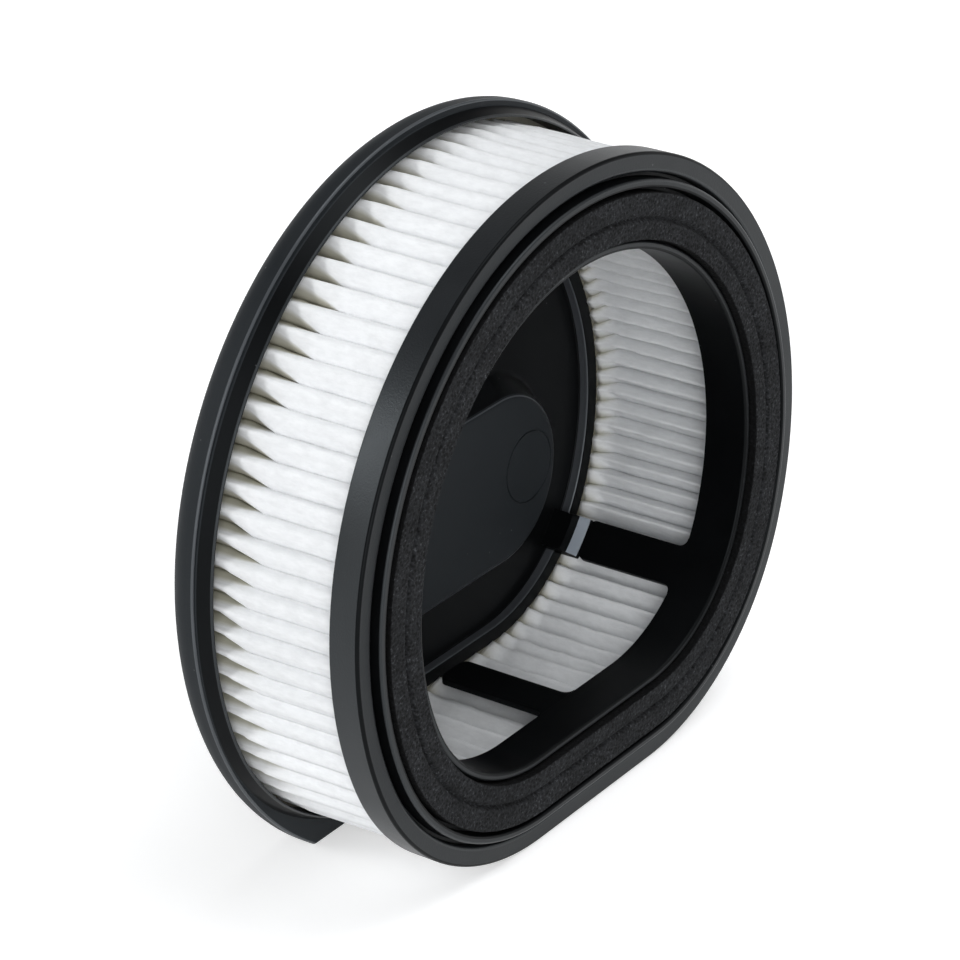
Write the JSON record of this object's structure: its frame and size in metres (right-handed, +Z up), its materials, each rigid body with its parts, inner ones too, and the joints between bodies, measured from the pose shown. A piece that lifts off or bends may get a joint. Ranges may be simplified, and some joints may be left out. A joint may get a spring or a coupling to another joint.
{
  "type": "vacuum cleaner exhaust filter",
  "caption": "D-shaped pleated air filter with an open front ring, foam gasket, inner cage and closed rear cap, for the exhaust of a vacuum cleaner",
  "frame": {"origin": "under the middle of the filter, on the plane of the two flats it stands on", "axes": "+Z up from the flats, -Y out of the open front with the gasket, +Y out of the closed rear cap, X across"},
  "size_m": [0.156, 0.0456, 0.1407],
  "materials": {
    "black_plastic": "satin moulded black",
    "charcoal_foam": "open-cell charcoal foam",
    "filter_paper": "white fibrous filter sheet",
    "hot_melt": "off-white hot-melt glue"
  },
  "bodies": {
    "root": {"front_frame": "black_plastic", "rear_cap": "black_plastic", "foam_gasket": "charcoal_foam", "pleated_media": "filter_paper", "front_adhesive": "hot_melt", "rear_adhesive": "hot_melt"}
  },
  "joints": []
}
